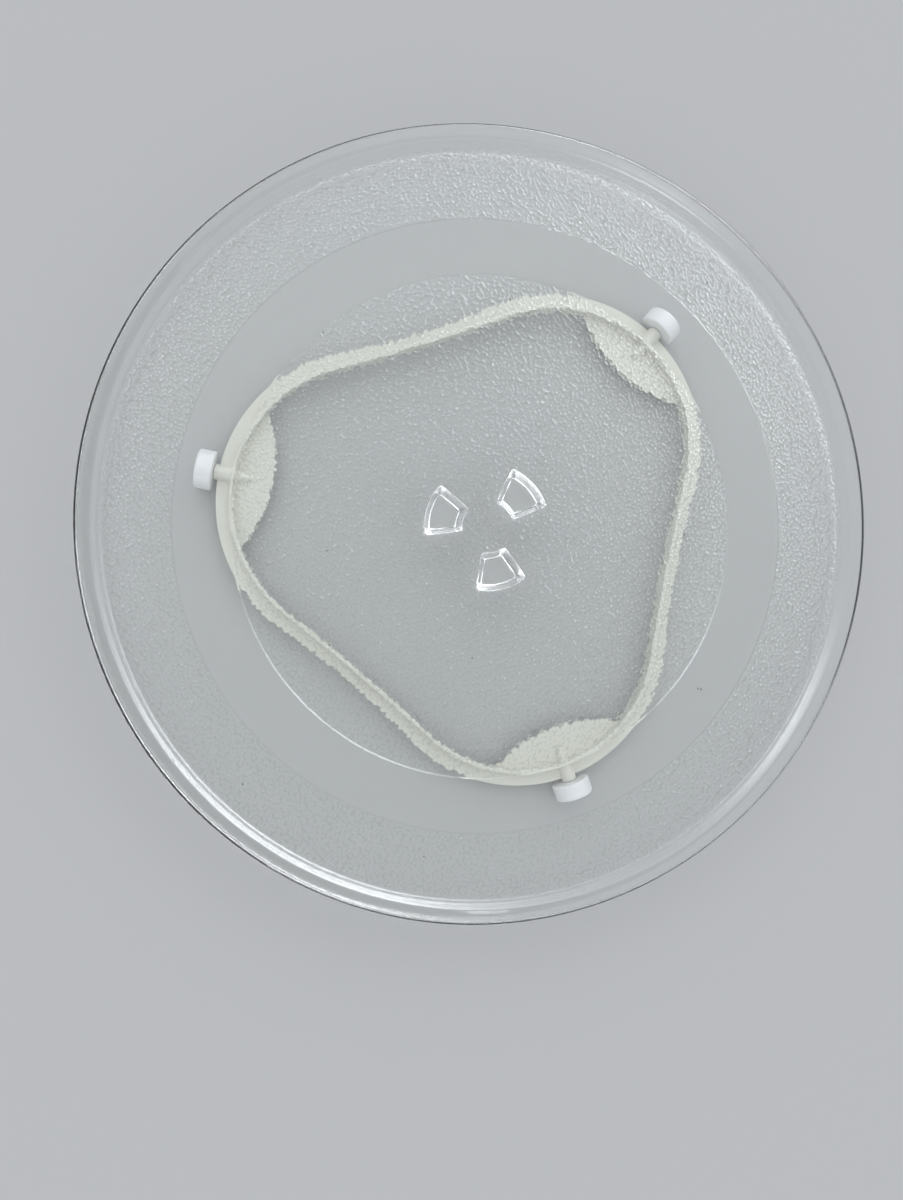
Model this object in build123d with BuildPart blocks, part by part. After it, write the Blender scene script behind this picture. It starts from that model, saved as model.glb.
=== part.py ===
from build123d import *
from math import cos, radians, sin, sqrt
import os

# Roller wheels, each one moulding with its own axle pin
wheel_count = 3
wheel_diameter = 14.0
wheel_length = 6.0
wheel_edge_radius = 0.7
track_radius = 102.5  # circle on which the middles of the wheels run

# Axle pin and its snap bead, pushed into a blind bore
pin_diameter = 3.2
pin_reach = 7.6  # from the boss's face to the pin's end
pin_lead_in = 0.5
bead_height = 0.2
bead_length = 1.4
bead_setback = 1.0  # from the pin's end to the bead
bore_clearance = 0.05  # on the radius
bore_end_gap = 0.4

# Glass plate
plate_diameter = 284.0
base_thickness = 4.8
rim_slope_run = 1.9
rim_slope_rise = 4.3
rim_ledge_run = 5.8
rim_ledge_rise = 0.9
rim_foot_radius = 1.2
rim_crest_radius = 1.0
lip_thickness = 4.1
lip_edge_radius = 1.85
under_slope_run = 5.5
under_foot_radius = 4.0

# Smooth wheel track pressed into the plate's underside
track_inner_margin = 8.5  # past the wheels' inner faces
track_outer_margin = 6.0  # past the wheels' outer faces
track_depth = 0.2
track_gap = 0.15  # running gap over the wheels

# Drive lugs under the plate's middle
lug_count = 3
lug_inner_radius = 9.4
lug_outer_radius = 23.2
lug_inner_width = 8.5
lug_outer_width = 19.2
lug_height = 8.0
lug_draft = 15.0
lug_corner_radius = 1.2
lug_tip_radius = 0.8
lug_root_radius = 0.8
lug_turn = -5.4  # the plate's stand against the ring, in degrees

# Roller ring: flat web, upright wall and a crescent inside each lobe
lobe_radius = 56.0
web_standoff = 1.5  # from the web's edge to the wheel's inner face
web_thickness = 2.0
web_drop = 0.2  # the web's top lies this far under the wheel axis
web_width = 5.0  # outside the wall, at the lobes
web_side_radius = 312.0  # hollow side between two lobes
wall_thickness = 1.5
wall_height = 4.0
wall_side_radius = 900.0
wall_edge_radius = 0.4
crescent_depth = 12.7  # from the wall's inner face, along the lobe's axis
crescent_radius = 51.5

# Axle bosses, half sunk in the web, with a tapered tail on the crescent
boss_diameter = 5.4
boss_gap = 0.3  # between the boss's face and the wheel
boss_tail_length = 6.5
boss_tail_diameter = 4.2
boss_tip_diameter = 1.2

# Levels above the floor that the wheels roll on
axis_level = wheel_diameter / 2
web_top = axis_level - web_drop
web_bottom = web_top - web_thickness
track_level = wheel_diameter + track_gap
under_level = track_level - track_depth
base_level = under_level + base_thickness
rim_level = base_level + rim_slope_rise + rim_ledge_rise

# Distances from the turning axis
plate_radius = plate_diameter / 2
wheel_inner = track_radius - wheel_length / 2
wheel_outer = track_radius + wheel_length / 2
boss_face = wheel_inner - boss_gap
pin_end = boss_face - pin_reach
lobe_offset = wheel_inner - web_standoff - lobe_radius
wall_outer_radius = lobe_radius - web_width
wall_inner_radius = wall_outer_radius - wall_thickness
wall_inner = lobe_offset + wall_inner_radius
wall_middle = wall_inner + wall_thickness / 2
crescent_edge = wall_inner - crescent_depth

# Upright planes through the turning axis, one along each lobe
lobe_pitch = 360 / wheel_count
lobe_directions = [Vector(1, 0, 0).rotate(Axis.Z, k * lobe_pitch) for k in range(wheel_count)]
lobe_planes = [Plane((0, 0, 0), x_dir=along, z_dir=along.cross(Vector(0, 0, 1))) for along in lobe_directions]


def lobed_outline(lobe_arc, side_arc):
    # Round lobes joined by shallow hollow sides, arc to arc without a kink
    half_pitch = radians(lobe_pitch / 2)
    arc_span = lobe_arc + side_arc
    side_offset = lobe_offset * cos(half_pitch) + sqrt(arc_span**2 - (lobe_offset * sin(half_pitch)) ** 2)
    side_direction = Vector(cos(half_pitch), sin(half_pitch))
    lobe_centre = Vector(lobe_offset, 0)
    lobe_end = lobe_centre + (side_direction * side_offset - lobe_centre) * (lobe_arc / arc_span)
    lobe_start = Vector(lobe_end.X, -lobe_end.Y)
    lobe_tip = Vector(lobe_offset + lobe_arc, 0)
    side_middle = side_direction * (side_offset - side_arc)
    next_start = lobe_start.rotate(Axis.Z, lobe_pitch)
    for k in range(wheel_count):
        turn = k * lobe_pitch
        ThreePointArc(*(point.rotate(Axis.Z, turn) for point in (lobe_start, lobe_tip, lobe_end)))
        ThreePointArc(*(point.rotate(Axis.Z, turn) for point in (lobe_end, side_middle, next_start)))


def pin_outline(clearance, end_gap):
    # Half section of the pin, or of its bore when grown by the clearance, from the end to the boss's face
    radius = pin_diameter / 2 + clearance
    end = pin_end - end_gap
    bead_start = pin_end + bead_setback - clearance
    bead_end = pin_end + bead_setback + bead_length + clearance
    return [
        (end, axis_level),
        (end, axis_level + radius - pin_lead_in),
        (end + pin_lead_in, axis_level + radius),
        (bead_start, axis_level + radius),
        (bead_start + bead_height, axis_level + radius + bead_height),
        (bead_end - bead_height, axis_level + radius + bead_height),
        (bead_end, axis_level + radius),
    ]


# One drive lug: straight flanks between two arcs about the axis, drafted downwards
with BuildPart() as lug:
    lug_inner_x = sqrt(lug_inner_radius**2 - (lug_inner_width / 2) ** 2)
    lug_outer_x = sqrt(lug_outer_radius**2 - (lug_outer_width / 2) ** 2)
    with BuildSketch(Plane.XY.offset(under_level)):
        with BuildLine():
            outer_arc = ThreePointArc(
                (lug_outer_x, -lug_outer_width / 2), (lug_outer_radius, 0), (lug_outer_x, lug_outer_width / 2)
            )
            inner_arc = ThreePointArc(
                (lug_inner_x, -lug_inner_width / 2), (lug_inner_radius, 0), (lug_inner_x, lug_inner_width / 2)
            )
            Line(outer_arc @ 0, inner_arc @ 0)
            Line(outer_arc @ 1, inner_arc @ 1)
        make_face()
    extrude(amount=-lug_height)
    lug_sides = lug.faces().filter_by(Axis.Z, reverse=True)
    draft(lug_sides, neutral_plane=Plane.XY.offset(under_level), angle=-lug_draft)
    tip_level = under_level - lug_height
    lug_corners = lug.edges().filter_by_position(Axis.Z, tip_level, under_level, inclusive=(False, False))
    fillet(lug_corners, radius=lug_corner_radius)
    lug_tip = lug.faces().sort_by(Axis.Z)[0]
    fillet(lug_tip.edges(), radius=lug_tip_radius)

# Glass plate: the section turned about the axis, then the lugs
with BuildPart() as glass_plate:
    rim_foot = plate_radius - rim_ledge_run - rim_slope_run
    rim_crest = plate_radius - rim_ledge_run
    track_in = wheel_inner - track_inner_margin
    track_out = wheel_outer + track_outer_margin
    with BuildSketch(Plane.XZ):
        with BuildLine():
            FilletPolyline(
                (0, base_level),
                (rim_foot, base_level),
                (rim_crest, base_level + rim_slope_rise),
                (plate_radius, rim_level),
                (plate_radius, rim_level - lip_thickness),
                (plate_radius - under_slope_run, under_level),
                (track_out, under_level),
                (track_out - track_depth, track_level),
                (track_in + track_depth, track_level),
                (track_in, under_level),
                (0, under_level),
                radius=[
                    0,
                    rim_foot_radius,
                    rim_crest_radius,
                    lip_edge_radius,
                    lip_edge_radius,
                    under_foot_radius,
                    0,
                    0,
                    0,
                    0,
                    0,
                ],
                close=True,
            )
        make_face()
    revolve(axis=Axis.Z)
    with PolarLocations(0, lug_count, start_angle=lug_turn):
        add(lug.part)
    lug_roots = glass_plate.edges(Select.LAST).filter_by_position(Axis.Z, under_level, under_level)
    fillet(lug_roots, radius=lug_root_radius)

# Roller ring: the web with its crescents, the wall on it, then the bosses and their bores
with BuildPart() as roller_ring:
    with BuildSketch(Plane.XY.offset(web_bottom)):
        with BuildLine():
            lobed_outline(lobe_radius, web_side_radius)
        make_face()
        with BuildSketch(mode=Mode.SUBTRACT):
            with BuildLine():
                lobed_outline(wall_inner_radius, wall_side_radius)
            make_face()
            with PolarLocations(crescent_edge + crescent_radius, wheel_count):
                Circle(crescent_radius, mode=Mode.SUBTRACT)
    extrude(amount=web_thickness)
    with BuildSketch(Plane.XY.offset(web_top)):
        with BuildLine():
            lobed_outline(wall_outer_radius, wall_side_radius)
        make_face()
        with BuildLine():
            lobed_outline(wall_inner_radius, wall_side_radius)
        make_face(mode=Mode.SUBTRACT)
    extrude(amount=wall_height)
    wall_top = roller_ring.faces().sort_by(Axis.Z)[-1]
    fillet(wall_top.edges(), radius=wall_edge_radius)
    for plane in lobe_planes:
        with BuildSketch(plane):
            with BuildLine():
                boss_top = Polyline(
                    (boss_face, axis_level),
                    (boss_face, axis_level + boss_diameter / 2),
                    (wall_middle, axis_level + boss_diameter / 2),
                    (wall_middle, axis_level + boss_tail_diameter / 2),
                )
                tail = TangentArc(
                    boss_top @ 1,
                    (wall_inner - boss_tail_length, axis_level + boss_tip_diameter / 2),
                    tangent=(-1, 0),
                )
                Polyline(tail @ 1, (wall_inner - boss_tail_length, axis_level), boss_top @ 0)
            make_face()
        revolve(axis=Axis((0, 0, axis_level), plane.x_dir))
    for plane in lobe_planes:
        with BuildSketch(plane):
            with BuildLine():
                Polyline(
                    *pin_outline(bore_clearance, bore_end_gap),
                    (boss_face, axis_level + pin_diameter / 2 + bore_clearance),
                    (boss_face, axis_level),
                    close=True,
                )
            make_face()
        revolve(axis=Axis((0, 0, axis_level), plane.x_dir), mode=Mode.SUBTRACT)

os.makedirs("parts", exist_ok=True)
glass_plate.part.label = "glass_plate"
export_step(glass_plate.part, "parts/glass_plate.step")
roller_ring.part.label = "roller_ring"
export_step(roller_ring.part, "parts/roller_ring.step")

# Roller wheels: tread and pin turned as one about the wheel's own axis
for number, plane in enumerate(lobe_planes, start=1):
    with BuildPart() as roller_wheel:
        with BuildSketch(plane):
            with BuildLine():
                Polyline(
                    *pin_outline(0, 0),
                    (wheel_inner, axis_level + pin_diameter / 2),
                    (wheel_inner, axis_level + wheel_diameter / 2),
                    (wheel_outer, axis_level + wheel_diameter / 2),
                    (wheel_outer, axis_level),
                    close=True,
                )
            make_face()
        revolve(axis=Axis((0, 0, axis_level), plane.x_dir))
        tread_edges = roller_wheel.edges().filter_by(GeomType.CIRCLE).group_by(SortBy.RADIUS)[-1]
        fillet(tread_edges, radius=wheel_edge_radius)
    roller_wheel.part.label = f"roller_wheel_{number}"
    export_step(roller_wheel.part, f"parts/roller_wheel_{number}.step")
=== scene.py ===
import bpy
import bmesh
from math import atan2, cos, pi, radians, sin, tan
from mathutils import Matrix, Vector


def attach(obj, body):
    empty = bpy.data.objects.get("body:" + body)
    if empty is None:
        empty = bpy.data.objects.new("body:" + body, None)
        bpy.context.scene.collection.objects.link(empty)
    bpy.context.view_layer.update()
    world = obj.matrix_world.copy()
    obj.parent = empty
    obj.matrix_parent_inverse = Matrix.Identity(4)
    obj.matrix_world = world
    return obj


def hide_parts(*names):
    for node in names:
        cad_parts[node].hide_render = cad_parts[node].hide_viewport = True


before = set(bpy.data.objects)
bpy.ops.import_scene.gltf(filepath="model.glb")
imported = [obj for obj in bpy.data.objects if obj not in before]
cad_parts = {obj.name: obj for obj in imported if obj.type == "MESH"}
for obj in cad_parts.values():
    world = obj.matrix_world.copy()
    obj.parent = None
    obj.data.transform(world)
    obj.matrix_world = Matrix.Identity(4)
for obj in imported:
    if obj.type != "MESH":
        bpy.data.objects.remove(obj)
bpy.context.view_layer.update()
print("frame loaded:", ", ".join(sorted(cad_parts)))


class Wire:  # a shader socket that can stand in an ordinary sum
    def __init__(self, finish, socket):
        self.finish = finish
        self.socket = socket

    def beside(self, output):  # another output of the same node
        return Wire(self.finish, self.socket.node.outputs[output])

    def math(self, operation, first, second):
        return self.finish.node("ShaderNodeMath", {"operation": operation}, {0: first, 1: second})

    def __add__(self, other):
        return self.math("ADD", self, other)

    __radd__ = __add__

    def __mul__(self, other):
        return self.math("MULTIPLY", self, other)

    __rmul__ = __mul__

    def __pow__(self, other):
        return self.math("POWER", self, other)

    def __rpow__(self, other):
        return self.math("POWER", other, self)

    def __lt__(self, other):
        return self.math("LESS_THAN", self, other)

    def __gt__(self, other):
        return self.math("GREATER_THAN", self, other)


class Finish:  # the nodes of one material, or of the studio's light
    def __init__(self, holder):
        self.holder = holder
        holder.use_nodes = True
        self.tree = holder.node_tree
        self.tree.nodes.clear()

    def node(self, kind, settings={}, inputs={}, output=0):
        made = self.tree.nodes.new(kind)
        for name, value in settings.items():
            setattr(made, name, value)
        for name, value in inputs.items():
            if isinstance(value, Wire):
                self.tree.links.new(value.socket, made.inputs[name])
            else:
                made.inputs[name].default_value = value
        return Wire(self, made.outputs[output])

    def place(self):
        return self.node("ShaderNodeTexCoord", output="Object")

    def mix(self, factor, first, second):  # from one colour to another
        return self.node("ShaderNodeMix", {"data_type": "RGBA"}, {"Factor": factor, 6: first, 7: second}, 2)

    def close(self, kind="ShaderNodeOutputMaterial", **shaders):
        output = self.tree.nodes.new(kind)
        for name, shader in shaders.items():
            self.tree.links.new(shader.socket, output.inputs[name])
        return self.holder


def newFinish(name):
    return Finish(bpy.data.materials.new(name))


# Pressed glass: clear on top, hammered underneath with painted shade darkening the edges of the hammer marks, satin on
# the flanks of the lugs
glass = {
    "tint": (0.95, 0.965, 0.955, 1.0),
    # painted shade: the colour the edges of the hammer marks are darkened to, standing in for light the marks scatter
    "paintedPitShade": (0.75, 0.775, 0.76, 1.0),
    "speckTint": (0.16, 0.15, 0.14, 1.0),
    "satinTint": (1.0, 1.0, 1.0, 1.0),
    "roughness": 0.008,
    "smudge": 0.03,  # how much duller the handled places are
    "smudgeScale": 22.0,
    "satin": 0.24,
    "ior": 1.51,
    "grain": 820.0,  # hammer marks to the metre
    "grainDepth": 0.00017,
    "pitFrom": 0.38,  # where a mark's painted shade starts towards its edge, and where it is darkest
    "pitTo": 0.66,
    "speckSpread": 13.0,  # specks to the metre, each way
    "speckSize": 0.0045,  # of the distance between two
}


def glassShader(finish, colour, roughness, extra={}):
    return finish.node("ShaderNodeBsdfPrincipled", {}, {
        "Base Color": colour, "Roughness": roughness, "IOR": glass["ior"], "Transmission Weight": 1.0, **extra})


def clearGlass():
    finish = newFinish("clearGlass")
    spot = finish.place()
    smudge = finish.node("ShaderNodeTexNoise", {}, {"Vector": spot, "Scale": glass["smudgeScale"], "Detail": 3.0})
    away = finish.node("ShaderNodeTexVoronoi", {"voronoi_dimensions": "2D"}, {
        "Vector": spot, "Scale": glass["speckSpread"]})
    colour = finish.mix(away < glass["speckSize"], glass["tint"], glass["speckTint"])
    return finish.close(Surface=glassShader(finish, colour, smudge ** 3 * glass["smudge"] + glass["roughness"]))


def hammeredGlass():
    finish = newFinish("hammeredGlass")
    marks = finish.node("ShaderNodeTexVoronoi", {"voronoi_dimensions": "2D"}, {
        "Vector": finish.place(), "Scale": glass["grain"]})
    edges = finish.node("ShaderNodeMapRange", {"interpolation_type": "SMOOTHSTEP"}, {
        "Value": marks, "From Min": glass["pitFrom"], "From Max": glass["pitTo"]})
    # painted shade: the edges of the hammer marks are darkened in the colour, standing in for light scattered by the
    # marks
    colour = finish.mix(edges, glass["tint"], glass["paintedPitShade"])
    pebbles = finish.node("ShaderNodeBump", {}, {
        "Strength": 1.0, "Distance": glass["grainDepth"], "Height": marks * marks})
    return finish.close(Surface=glassShader(finish, colour, glass["roughness"], {"Normal": pebbles}))


def satinGlass():
    finish = newFinish("satinGlass")
    return finish.close(Surface=glassShader(finish, glass["satinTint"], glass["satin"]))


# Glass plate: the section turned about the axis, with the middle that carries the lugs
plate = {
    "radius": 0.142,
    "baseLevel": 0.01875,
    "underLevel": 0.01395,
    "slopeRun": 0.0019,
    "slopeRise": 0.0043,
    "ledgeRun": 0.0058,
    "ledgeRise": 0.0009,
    "footRounding": 0.0012,
    "crestRounding": 0.001,
    "lipThickness": 0.0041,
    "lipRounding": 0.00185,
    "underRun": 0.0055,
    "underRounding": 0.004,
    "trackInner": 0.091,
    "trackOuter": 0.1115,
    "trackDepth": 0.0002,
    "trackSide": 0.0006,  # width of the gentle step down each side
    "panelInner": 0.113,  # a plain smooth panel in the hammered face
    "panelOuter": 0.1195,
    "panelFrom": radians(21),
    "panelTo": radians(71),
    "hammeredTo": 0.0168,  # level on the outer slope where the hammering stops
    "middleInner": 0.04,  # the lugs' part of the underside reaches this far
    "middleOuter": 0.06,
    "middleSides": 24,
    "turns": 360,
    "roundingSteps": 8,
    "weld": 1e-6,  # points closer than this are one
    "sharpFrom": radians(25),
    "levelFrom": 0.99999,  # upright part of the normal of a face that lies level
}


def roundedSection(bm, corners):
    points = [bm.verts.new((radius, 0, level)) for radius, level, rounding in corners]
    for first, second in zip(points, points[1:]):
        bm.edges.new((first, second))
    spots = [point.co.copy() for point in points]
    turns = [(here - before).angle(after - here) for before, here, after in zip(spots, spots[1:], spots[2:])]
    for point, turn, (radius, level, rounding) in zip(points[1:], turns, corners[1:]):
        if rounding:
            bmesh.ops.bevel(bm, geom=[point], affect="VERTICES", offset=rounding * tan(turn / 2), offset_type="OFFSET",
                            segments=plate["roundingSteps"], profile=0.5, material=-1)


def turnedBody(bm):
    crest = plate["radius"] - plate["ledgeRun"]
    crestLevel = plate["baseLevel"] + plate["slopeRise"]
    lipLevel = crestLevel + plate["ledgeRise"]
    trackLevel = plate["underLevel"] + plate["trackDepth"]
    roundedSection(bm, [
        (0, plate["baseLevel"], 0),
        (crest - plate["slopeRun"], plate["baseLevel"], plate["footRounding"]),
        (crest, crestLevel, plate["crestRounding"]),
        (plate["radius"], lipLevel, plate["lipRounding"]),
        (plate["radius"], lipLevel - plate["lipThickness"], plate["lipRounding"]),
        (plate["radius"] - plate["underRun"], plate["underLevel"], plate["underRounding"]),
        (plate["panelOuter"], plate["underLevel"], 0),
        (plate["panelInner"], plate["underLevel"], 0),
        (plate["trackOuter"], plate["underLevel"], 0),
        (plate["trackOuter"] - plate["trackSide"], trackLevel, 0),
        (plate["trackInner"] + plate["trackSide"], trackLevel, 0),
        (plate["trackInner"], plate["underLevel"], 0),
        (plate["middleOuter"], plate["underLevel"], 0),
    ])
    bmesh.ops.spin(bm, geom=bm.verts[:] + bm.edges[:], cent=(0, 0, 0), axis=(0, 0, 1), angle=2 * pi,
                   steps=plate["turns"], use_merge=True)
    bmesh.ops.remove_doubles(bm, verts=bm.verts, dist=plate["weld"])


def addLugs(bm):  # from a merged copy of the CAD plate, cut down to the part round the lugs
    middle = bmesh.new()
    middle.from_mesh(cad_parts["glass_plate"].data)
    bmesh.ops.remove_doubles(middle, verts=middle.verts, dist=plate["weld"])
    underTop = plate["underLevel"] + plate["trackDepth"] / 2
    upper = [face for face in middle.faces if face.calc_center_median().z > underTop]
    bmesh.ops.delete(middle, geom=upper, context="FACES")
    for k in range(plate["middleSides"]):
        angle = 2 * pi * k / plate["middleSides"]
        outward = Vector((cos(angle), sin(angle), 0))
        bmesh.ops.bisect_plane(middle, geom=middle.verts[:] + middle.edges[:] + middle.faces[:],
                               plane_co=outward * plate["middleInner"], plane_no=outward, clear_outer=True)
    lugMesh = bpy.data.meshes.new("lugs")
    middle.to_mesh(lugMesh)
    middle.free()
    bm.from_mesh(lugMesh)
    bpy.data.meshes.remove(lugMesh)
    rims = [edge for edge in bm.edges if edge.is_boundary]
    bmesh.ops.bridge_loops(bm, edges=rims)


def finishOf(face):  # 0 clear, 1 hammered, 2 satin
    spot = face.calc_center_median()
    away = Vector((spot.x, spot.y)).length
    panel = (plate["panelInner"] < away < plate["panelOuter"]
             and plate["panelFrom"] < atan2(spot.y, spot.x) < plate["panelTo"])
    flat = abs(spot.z - plate["underLevel"]) < 1e-5 and not panel
    slope = away > plate["trackOuter"] and face.normal.z < -0.3 and spot.z < plate["hammeredTo"]
    flank = away < plate["middleInner"] and abs(face.normal.z) < 0.6
    return 2 if flank else 1 if flat or slope else 0


def plateMesh():
    bm = bmesh.new()
    turnedBody(bm)
    addLugs(bm)
    bmesh.ops.recalc_face_normals(bm, faces=bm.faces)
    bm.normal_update()
    for face in bm.faces:
        face.material_index = finishOf(face)
    mesh = bpy.data.meshes.new("glassPlate")
    bm.to_mesh(mesh)
    print("glass plate:", len(bm.faces), "faces,", sum(not edge.is_manifold for edge in bm.edges), "open edges")
    bm.free()
    mesh.set_sharp_from_angle(angle=plate["sharpFrom"])
    for face in mesh.polygons:
        face.use_smooth = abs(face.normal.z) < plate["levelFrom"]  # level faces stay dead flat
    return mesh


glassPlate = bpy.data.objects.new("glassPlate", plateMesh())
bpy.context.scene.collection.objects.link(glassPlate)
for finish in (clearGlass(), hammeredGlass(), satinGlass()):
    glassPlate.data.materials.append(finish)
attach(glassPlate, "plate")
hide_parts("glass_plate")


# Ring moulding: satin cream plastic
cream = {
    "pale": (0.79, 0.78, 0.715, 1.0),
    "dark": (0.74, 0.73, 0.66, 1.0),
    "mottle": 60.0,
    "roughness": 0.42,
    "roughnessSpread": 0.12,
    "skin": 2600.0,  # grain of the mould's surface
    "skinStrength": 0.3,
    "skinDepth": 0.00003,
}


def creamPlastic():
    finish = newFinish("creamPlastic")
    spot = finish.place()
    mottle = finish.node("ShaderNodeTexNoise", {}, {"Vector": spot, "Scale": cream["mottle"], "Detail": 4.0})
    skin = finish.node("ShaderNodeTexNoise", {}, {"Vector": spot, "Scale": cream["skin"], "Detail": 2.0})
    bump = finish.node("ShaderNodeBump", {}, {
        "Strength": cream["skinStrength"], "Distance": cream["skinDepth"], "Height": skin})
    return finish.close(Surface=finish.node("ShaderNodeBsdfPrincipled", {}, {
        "Base Color": finish.mix(mottle, cream["dark"], cream["pale"]),
        "Roughness": mottle * cream["roughnessSpread"] + cream["roughness"], "Normal": bump}))


# Wheels: white plastic
white = {
    "clean": (0.92, 0.92, 0.945, 1.0),
    "worn": (0.88, 0.88, 0.90, 1.0),
    "mottle": 300.0,
    "roughness": 0.33,
    "roughnessSpread": 0.1,
}


def whitePlastic():
    finish = newFinish("whitePlastic")
    mottle = finish.node("ShaderNodeTexNoise", {}, {
        "Vector": finish.place(), "Scale": white["mottle"], "Detail": 3.0})
    return finish.close(Surface=finish.node("ShaderNodeBsdfPrincipled", {}, {
        "Base Color": finish.mix(mottle, white["worn"], white["clean"]),
        "Roughness": mottle * white["roughnessSpread"] + white["roughness"]}))


creamFinish = creamPlastic()
whiteFinish = whitePlastic()
finishes = {
    "roller_ring": creamFinish,
    "roller_wheel_1": whiteFinish,
    "roller_wheel_2": whiteFinish,
    "roller_wheel_3": whiteFinish,
}
for name, finish in finishes.items():
    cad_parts[name].material_slots[0].material = finish
print("finishes assigned")

# Studio: a pale floor under an even bright sky, brighter towards one side
studio = {
    "floorSize": 40.0,
    "floorColour": (0.54, 0.54, 0.542, 1.0),
    "floorGrain": 40.0,
    "floorRoughness": 0.8,
    "floorRoughnessSpread": 0.1,
    "sky": (0.94, 0.965, 1.0, 1.0),
    "skyStrength": 0.76,
    "window": ((0.6, 0.45, 0.66), 0.8, 3.0),  # where it stands, its strength and how small it is
    "softboxes": [  # seen only as highlights
        ((0.955, 0.033, 0.295), 14.0, 16.0),
        ((-0.846, -0.325, 0.423), 3.5, 60.0),
        ((0.047, 0.667, 0.743), 4.5, 60.0),
        ((0.63, -0.294, 0.719), 5.0, 90.0),
    ],
}


def paleFloor():
    bpy.ops.mesh.primitive_plane_add(size=studio["floorSize"])
    floor = bpy.context.object
    floor.name = "floor"
    finish = newFinish("paleFloor")
    grain = finish.node("ShaderNodeTexNoise", {}, {"Vector": finish.place(), "Scale": studio["floorGrain"]})
    floor.data.materials.append(finish.close(Surface=finish.node("ShaderNodeBsdfPrincipled", {}, {
        "Base Color": studio["floorColour"],
        "Roughness": grain * studio["floorRoughnessSpread"] + studio["floorRoughness"],
        "Specular IOR Level": 0.0})))


def softSky():
    light = Finish(bpy.data.worlds.new("studio"))
    bpy.context.scene.world = light.holder
    toward = light.node("ShaderNodeTexCoord", output="Generated")

    def glow(source, strength, tightness):
        facing = light.node("ShaderNodeVectorMath", {"operation": "DOT_PRODUCT"}, {0: toward, 1: source}, "Value")
        return facing.math("MAXIMUM", facing, 0.0) ** tightness * strength

    path = light.node("ShaderNodeLightPath", output="Is Glossy Ray")
    mirrored = (path + path.beside("Is Transmission Ray")) * (path.beside("Diffuse Depth") < 0.5)
    level = glow(*studio["window"]) + studio["skyStrength"]
    for softbox in studio["softboxes"]:
        level = glow(*softbox) * mirrored + level
    light.close("ShaderNodeOutputWorld", Surface=light.node("ShaderNodeBackground", {}, {
        "Color": studio["sky"], "Strength": level}))


paleFloor()
softSky()
bpy.context.scene.view_settings.view_transform = "Standard"
bpy.context.scene.cycles.blur_glossy = 0.0  # light passes the glass undimmed
print("studio ready")

# Camera: nearly straight above, the first wheel to the upper right
viewpoint = {
    "lens": 27.0,
    "nearest": 0.01,
    "place": (-0.05599, 0.026, 0.3371),
    "turn": (-0.2613, -7.6082, -48.8654),
}
camera = bpy.data.cameras.new("camera")
camera.lens = viewpoint["lens"]
camera.clip_start = viewpoint["nearest"]
eye = bpy.data.objects.new("camera", camera)
bpy.context.scene.collection.objects.link(eye)
eye.location = viewpoint["place"]
eye.rotation_euler = [radians(angle) for angle in viewpoint["turn"]]
bpy.context.scene.camera = eye
print("camera ready")
